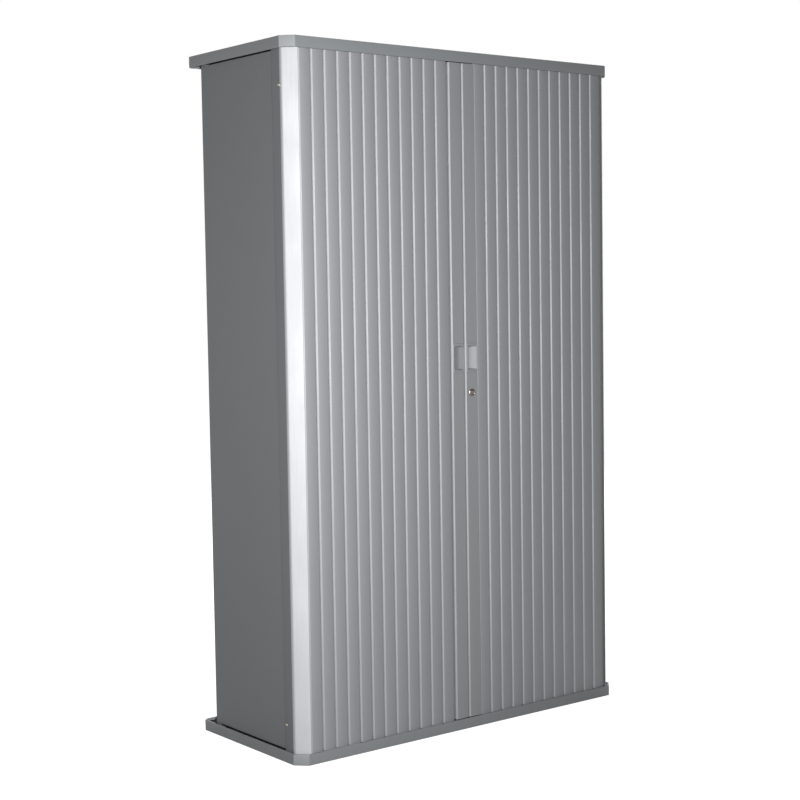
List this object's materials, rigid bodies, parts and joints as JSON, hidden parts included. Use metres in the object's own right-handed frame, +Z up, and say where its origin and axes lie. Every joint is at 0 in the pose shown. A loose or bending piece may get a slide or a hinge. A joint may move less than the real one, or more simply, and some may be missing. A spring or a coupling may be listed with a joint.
{
  "type": "tambour door cabinet",
  "caption": "Tall free-standing office cupboard: slatted tambour doors slide sideways round the front corners, with recessed handles, a hook lock and steel shelves inside.",
  "frame": {"origin": "centre of the cabinet's underside, on the floor", "axes": "+Z up, -Y out of the front where the doors are, +X to the right for someone who faces the doors"},
  "size_m": [1.2, 0.505, 1.95],
  "materials": {
    "frame_plastic": "satin grey",
    "board_laminate": "grey laminated chipboard",
    "back_paint": "satin grey powder coat",
    "post_aluminium": "natural anodised",
    "rear_post_paint": "satin grey powder coat",
    "side_paint": "satin grey powder coat",
    "liner_paint": "satin light grey powder coat",
    "upright_zinc": "light grey powder coat",
    "track_plastic": "black moulded",
    "slat_plastic": "satin silver grey",
    "stile_aluminium": "painted silver grey",
    "cup_plastic": "moulded silver grey",
    "shelf_paint": "satin light grey powder coat",
    "lock_nickel": "nickel plated",
    "plug_brass": "nickel plated, darkened",
    "cam_steel": "zinc plated",
    "keeper_steel": "zinc plated"
  },
  "bodies": {
    "carcass": {"base_frame": "frame_plastic", "top_frame": "frame_plastic", "base_panel": "board_laminate", "top_panel": "board_laminate", "back_panel": "back_paint", "left_front_post": "post_aluminium", "left_rear_post": "rear_post_paint", "left_side_panel": "side_paint", "left_inner_liner": "liner_paint", "left_front_upright": "upright_zinc", "left_rear_upright": "upright_zinc", "left_lower_track": "track_plastic", "left_upper_track": "track_plastic", "right_front_post": "post_aluminium", "right_rear_post": "rear_post_paint", "right_side_panel": "side_paint", "right_inner_liner": "liner_paint", "right_front_upright": "upright_zinc", "right_rear_upright": "upright_zinc", "right_lower_track": "track_plastic", "right_upper_track": "track_plastic", "shelf_1": "shelf_paint", "shelf_2": "shelf_paint", "shelf_3": "shelf_paint", "shelf_4": "shelf_paint"},
    "left_door": {"left_stile": "stile_aluminium", "left_handle_cup": "cup_plastic", "lock_keeper": "keeper_steel"},
    "right_door": {"right_stile": "stile_aluminium", "right_handle_cup": "cup_plastic", "lock_housing": "lock_nickel"},
    "lock_core": {"lock_plug": "plug_brass", "lock_cam": "cam_steel"},
    "left_slat_01": {"left_slat_01": "slat_plastic"},
    "left_slat_02": {"left_slat_02": "slat_plastic"},
    "left_slat_03": {"left_slat_03": "slat_plastic"},
    "left_slat_04": {"left_slat_04": "slat_plastic"},
    "left_slat_05": {"left_slat_05": "slat_plastic"},
    "left_slat_06": {"left_slat_06": "slat_plastic"},
    "left_slat_07": {"left_slat_07": "slat_plastic"},
    "left_slat_08": {"left_slat_08": "slat_plastic"},
    "left_slat_09": {"left_slat_09": "slat_plastic"},
    "left_slat_10": {"left_slat_10": "slat_plastic"},
    "left_slat_11": {"left_slat_11": "slat_plastic"},
    "left_slat_12": {"left_slat_12": "slat_plastic"},
    "right_slat_01": {"right_slat_01": "slat_plastic"},
    "right_slat_02": {"right_slat_02": "slat_plastic"},
    "right_slat_03": {"right_slat_03": "slat_plastic"},
    "right_slat_04": {"right_slat_04": "slat_plastic"},
    "right_slat_05": {"right_slat_05": "slat_plastic"},
    "right_slat_06": {"right_slat_06": "slat_plastic"},
    "right_slat_07": {"right_slat_07": "slat_plastic"},
    "right_slat_08": {"right_slat_08": "slat_plastic"},
    "right_slat_09": {"right_slat_09": "slat_plastic"},
    "right_slat_10": {"right_slat_10": "slat_plastic"},
    "right_slat_11": {"right_slat_11": "slat_plastic"},
    "right_slat_12": {"right_slat_12": "slat_plastic"}
  },
  "joints": [
    {"name": "left_door_slide", "type": "slide", "parent": "carcass", "child": "left_door", "axis": [-1, 0, 0], "range_m": [0, 0.5], "deforming": ["left_slat_01", "left_slat_02", "left_slat_03", "left_slat_04", "left_slat_05", "left_slat_06", "left_slat_07", "left_slat_08", "left_slat_09", "left_slat_10", "left_slat_11", "left_slat_12"]},
    {"name": "left_slat_01_slide", "type": "slide", "parent": "carcass", "child": "left_slat_01", "axis": [-1, 0, 0], "range_m": [0, 0.45889]},
    {"name": "left_slat_02_slide", "type": "slide", "parent": "carcass", "child": "left_slat_02", "axis": [-1, 0, 0], "range_m": [0, 0.41777]},
    {"name": "left_slat_03_slide", "type": "slide", "parent": "carcass", "child": "left_slat_03", "axis": [-1, 0, 0], "range_m": [0, 0.37666]},
    {"name": "left_slat_04_slide", "type": "slide", "parent": "carcass", "child": "left_slat_04", "axis": [-1, 0, 0], "range_m": [0, 0.33554]},
    {"name": "left_slat_05_slide", "type": "slide", "parent": "carcass", "child": "left_slat_05", "axis": [-1, 0, 0], "range_m": [0, 0.29443]},
    {"name": "left_slat_06_slide", "type": "slide", "parent": "carcass", "child": "left_slat_06", "axis": [-1, 0, 0], "range_m": [0, 0.25331]},
    {"name": "left_slat_07_slide", "type": "slide", "parent": "carcass", "child": "left_slat_07", "axis": [-1, 0, 0], "range_m": [0, 0.2122]},
    {"name": "left_slat_08_slide", "type": "slide", "parent": "carcass", "child": "left_slat_08", "axis": [-1, 0, 0], "range_m": [0, 0.17108]},
    {"name": "left_slat_09_slide", "type": "slide", "parent": "carcass", "child": "left_slat_09", "axis": [-1, 0, 0], "range_m": [0, 0.12997]},
    {"name": "left_slat_10_slide", "type": "slide", "parent": "carcass", "child": "left_slat_10", "axis": [-1, 0, 0], "range_m": [0, 0.08885]},
    {"name": "left_slat_11_slide", "type": "slide", "parent": "carcass", "child": "left_slat_11", "axis": [-1, 0, 0], "range_m": [0, 0.04774]},
    {"name": "left_slat_12_slide", "type": "slide", "parent": "carcass", "child": "left_slat_12", "axis": [-1, 0, 0], "range_m": [0, 0.00662]},
    {"name": "right_door_slide", "type": "slide", "parent": "carcass", "child": "right_door", "axis": [1, 0, 0], "range_m": [0, 0.5], "deforming": ["right_slat_01", "right_slat_02", "right_slat_03", "right_slat_04", "right_slat_05", "right_slat_06", "right_slat_07", "right_slat_08", "right_slat_09", "right_slat_10", "right_slat_11", "right_slat_12"]},
    {"name": "right_slat_01_slide", "type": "slide", "parent": "carcass", "child": "right_slat_01", "axis": [1, 0, 0], "range_m": [0, 0.45889]},
    {"name": "right_slat_02_slide", "type": "slide", "parent": "carcass", "child": "right_slat_02", "axis": [1, 0, 0], "range_m": [0, 0.41777]},
    {"name": "right_slat_03_slide", "type": "slide", "parent": "carcass", "child": "right_slat_03", "axis": [1, 0, 0], "range_m": [0, 0.37666]},
    {"name": "right_slat_04_slide", "type": "slide", "parent": "carcass", "child": "right_slat_04", "axis": [1, 0, 0], "range_m": [0, 0.33554]},
    {"name": "right_slat_05_slide", "type": "slide", "parent": "carcass", "child": "right_slat_05", "axis": [1, 0, 0], "range_m": [0, 0.29443]},
    {"name": "right_slat_06_slide", "type": "slide", "parent": "carcass", "child": "right_slat_06", "axis": [1, 0, 0], "range_m": [0, 0.25331]},
    {"name": "right_slat_07_slide", "type": "slide", "parent": "carcass", "child": "right_slat_07", "axis": [1, 0, 0], "range_m": [0, 0.2122]},
    {"name": "right_slat_08_slide", "type": "slide", "parent": "carcass", "child": "right_slat_08", "axis": [1, 0, 0], "range_m": [0, 0.17108]},
    {"name": "right_slat_09_slide", "type": "slide", "parent": "carcass", "child": "right_slat_09", "axis": [1, 0, 0], "range_m": [0, 0.12997]},
    {"name": "right_slat_10_slide", "type": "slide", "parent": "carcass", "child": "right_slat_10", "axis": [1, 0, 0], "range_m": [0, 0.08885]},
    {"name": "right_slat_11_slide", "type": "slide", "parent": "carcass", "child": "right_slat_11", "axis": [1, 0, 0], "range_m": [0, 0.04774]},
    {"name": "right_slat_12_slide", "type": "slide", "parent": "carcass", "child": "right_slat_12", "axis": [1, 0, 0], "range_m": [0, 0.00662]},
    {"name": "lock_turn", "type": "hinge", "parent": "right_door", "child": "lock_core", "pos_m": [0.0249, -0.252, 0.98], "axis": [0, 1, 0], "range_deg": [0, 90]}
  ],
  "couplings": [
    {"joint": "left_slat_01_slide", "follows": "left_door_slide", "ratio": 0.91777},
    {"joint": "left_slat_02_slide", "follows": "left_door_slide", "ratio": 0.83554},
    {"joint": "left_slat_03_slide", "follows": "left_door_slide", "ratio": 0.75331},
    {"joint": "left_slat_04_slide", "follows": "left_door_slide", "ratio": 0.67108},
    {"joint": "left_slat_05_slide", "follows": "left_door_slide", "ratio": 0.58885},
    {"joint": "left_slat_06_slide", "follows": "left_door_slide", "ratio": 0.50662},
    {"joint": "left_slat_07_slide", "follows": "left_door_slide", "ratio": 0.42439},
    {"joint": "left_slat_08_slide", "follows": "left_door_slide", "ratio": 0.34216},
    {"joint": "left_slat_09_slide", "follows": "left_door_slide", "ratio": 0.25993},
    {"joint": "left_slat_10_slide", "follows": "left_door_slide", "ratio": 0.1777},
    {"joint": "left_slat_11_slide", "follows": "left_door_slide", "ratio": 0.095472},
    {"joint": "left_slat_12_slide", "follows": "left_door_slide", "ratio": 0.013242},
    {"joint": "right_slat_01_slide", "follows": "right_door_slide", "ratio": 0.91777},
    {"joint": "right_slat_02_slide", "follows": "right_door_slide", "ratio": 0.83554},
    {"joint": "right_slat_03_slide", "follows": "right_door_slide", "ratio": 0.75331},
    {"joint": "right_slat_04_slide", "follows": "right_door_slide", "ratio": 0.67108},
    {"joint": "right_slat_05_slide", "follows": "right_door_slide", "ratio": 0.58885},
    {"joint": "right_slat_06_slide", "follows": "right_door_slide", "ratio": 0.50662},
    {"joint": "right_slat_07_slide", "follows": "right_door_slide", "ratio": 0.42439},
    {"joint": "right_slat_08_slide", "follows": "right_door_slide", "ratio": 0.34216},
    {"joint": "right_slat_09_slide", "follows": "right_door_slide", "ratio": 0.25993},
    {"joint": "right_slat_10_slide", "follows": "right_door_slide", "ratio": 0.1777},
    {"joint": "right_slat_11_slide", "follows": "right_door_slide", "ratio": 0.095472},
    {"joint": "right_slat_12_slide", "follows": "right_door_slide", "ratio": 0.013242}
  ]
}
